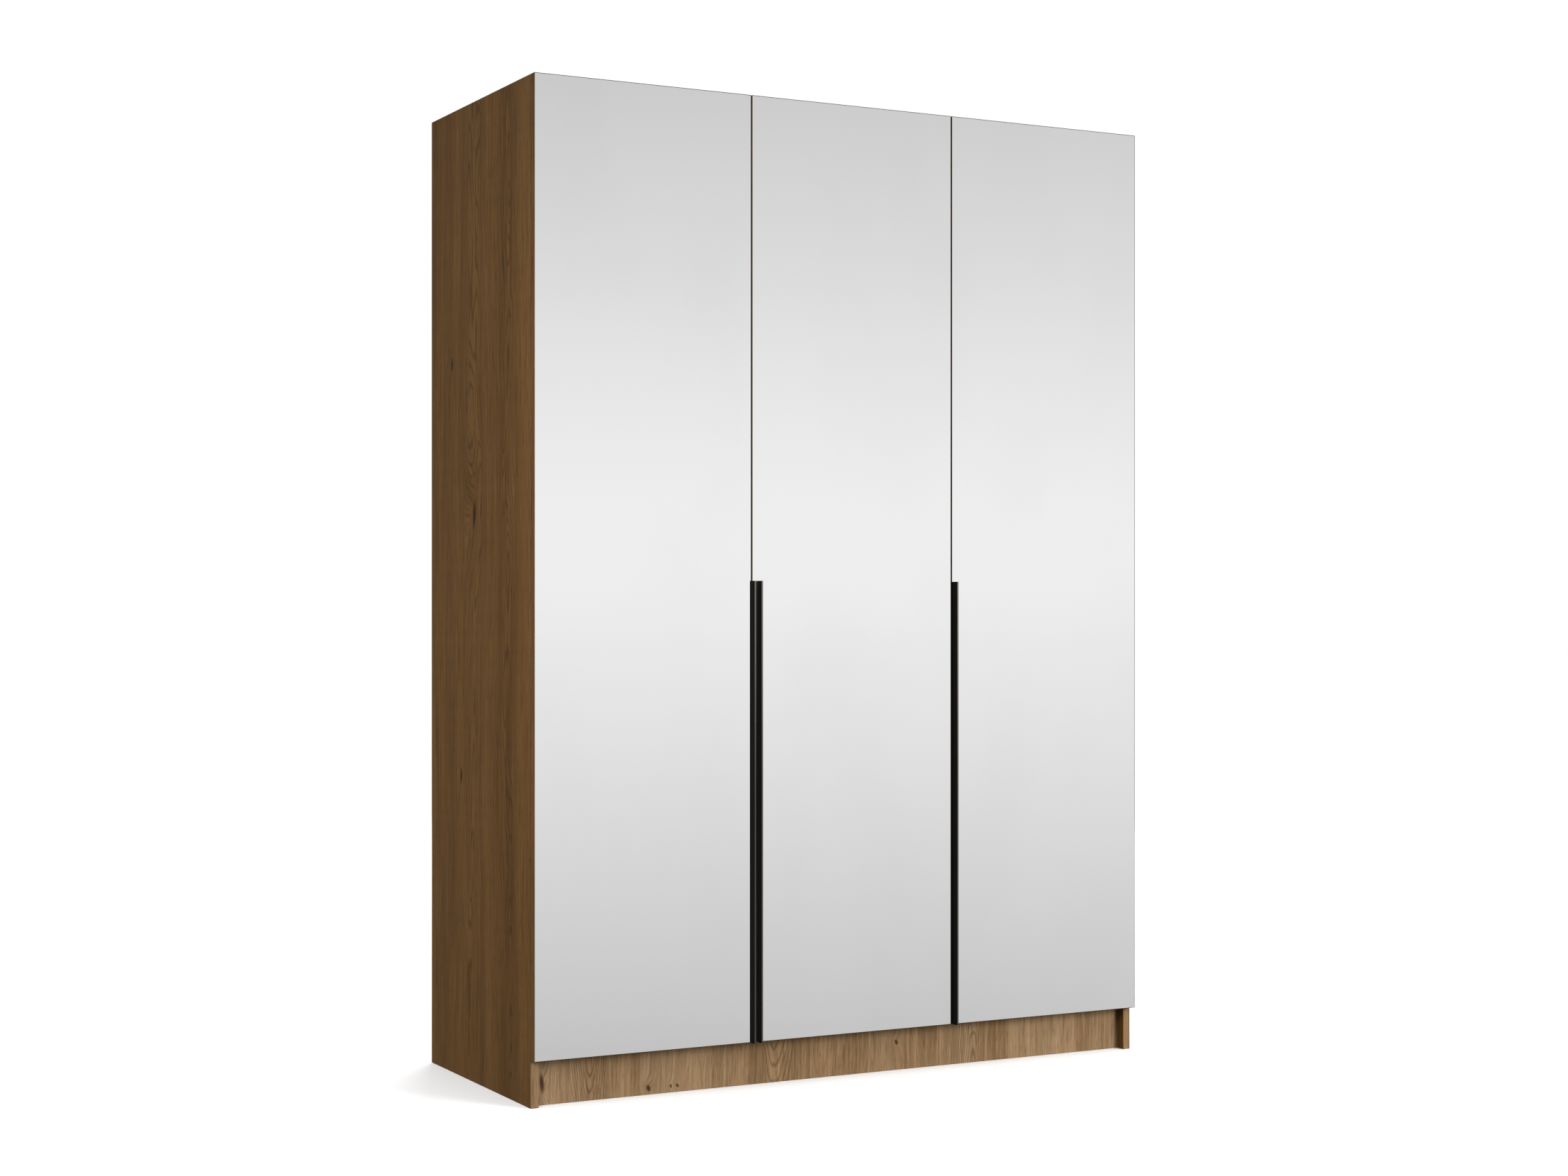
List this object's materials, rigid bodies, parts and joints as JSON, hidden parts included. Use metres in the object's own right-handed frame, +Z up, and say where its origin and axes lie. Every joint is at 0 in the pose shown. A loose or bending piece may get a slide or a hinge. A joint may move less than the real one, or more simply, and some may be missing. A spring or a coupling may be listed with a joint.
{
  "type": "three-door wardrobe",
  "caption": "Free-standing wardrobe with three full-height mirrored hinged doors, black handle rails and a hanging space beside a column of shelves.",
  "frame": {"origin": "on the floor, in the middle of the overall width and depth", "axes": "+X to the right of a person facing the doors, +Y towards the wall behind, +Z up"},
  "size_m": [1.35, 0.558, 1.9],
  "materials": {
    "oak_decor_board": "mid-brown oak print, melamine-faced chipboard",
    "mirror_glass": "plain silvered mirror",
    "black_aluminium": "matt black anodised",
    "nickel_steel": "nickel-plated pressed steel",
    "zinc_steel": "zinc-plated steel",
    "chrome_tube": "chromed oval tube",
    "brown_plastic": "moulded brown plastic",
    "clear_rubber": "clear soft pad",
    "beech": "fluted beech",
    "hardboard": "thin hardboard, oak print inside"
  },
  "bodies": {
    "carcass": {"back_joint_strip": "brown_plastic", "back_sheet_left": "hardboard", "back_sheet_middle": "hardboard", "back_sheet_nails": "zinc_steel", "back_sheet_right": "hardboard", "bottom_panel": "oak_decor_board", "cam_bolts": "zinc_steel", "cam_locks": "zinc_steel", "door_1_hinge_arms": "nickel_steel", "door_1_mounting_plates": "nickel_steel", "door_2_hinge_arms": "nickel_steel", "door_2_mounting_plates": "nickel_steel", "door_3_hinge_arms": "nickel_steel", "door_3_mounting_plates": "nickel_steel", "door_bumpers": "clear_rubber", "hanging_rail": "chrome_tube", "hat_shelf": "oak_decor_board", "hinge_adjusting_screws": "zinc_steel", "mounting_plate_screws": "zinc_steel", "partition": "oak_decor_board", "plinth_block_screws": "zinc_steel", "plinth_blocks": "brown_plastic", "plinth_front": "oak_decor_board", "plinth_rear": "oak_decor_board", "plinth_support": "oak_decor_board", "rail_socket_screws": "zinc_steel", "rail_sockets": "nickel_steel", "shelf_1": "oak_decor_board", "shelf_2": "oak_decor_board", "shelf_3": "oak_decor_board", "shelf_4": "oak_decor_board", "shelf_5": "oak_decor_board", "shelf_pins": "nickel_steel", "side_panel_left": "oak_decor_board", "side_panel_right": "oak_decor_board", "top_panel": "oak_decor_board", "wall_bracket_screws": "zinc_steel", "wall_brackets": "nickel_steel", "wooden_dowels": "beech"},
    "door_1": {"door_1_board": "oak_decor_board", "door_1_cup_screws": "zinc_steel", "door_1_edge_band": "oak_decor_board", "door_1_handle": "black_aluminium", "door_1_handle_screws": "zinc_steel", "door_1_hinge_cups": "nickel_steel", "door_1_mirror": "mirror_glass"},
    "door_2": {"door_2_board": "oak_decor_board", "door_2_cup_screws": "zinc_steel", "door_2_edge_band": "oak_decor_board", "door_2_handle": "black_aluminium", "door_2_handle_screws": "zinc_steel", "door_2_hinge_cups": "nickel_steel", "door_2_mirror": "mirror_glass"},
    "door_3": {"door_3_board": "oak_decor_board", "door_3_cup_screws": "zinc_steel", "door_3_edge_band": "oak_decor_board", "door_3_handle": "black_aluminium", "door_3_handle_screws": "zinc_steel", "door_3_hinge_cups": "nickel_steel", "door_3_mirror": "mirror_glass"}
  },
  "joints": [
    {"name": "door_1_hinge", "type": "hinge", "parent": "carcass", "child": "door_1", "pos_m": [-0.672, -0.256, 0.9], "axis": [0, 0, -1], "range_deg": [0, 100]},
    {"name": "door_2_hinge", "type": "hinge", "parent": "carcass", "child": "door_2", "pos_m": [0.22133, -0.256, 0.9], "axis": [0, 0, 1], "range_deg": [0, 90]},
    {"name": "door_3_hinge", "type": "hinge", "parent": "carcass", "child": "door_3", "pos_m": [0.672, -0.256, 0.9], "axis": [0, 0, 1], "range_deg": [0, 100]}
  ]
}
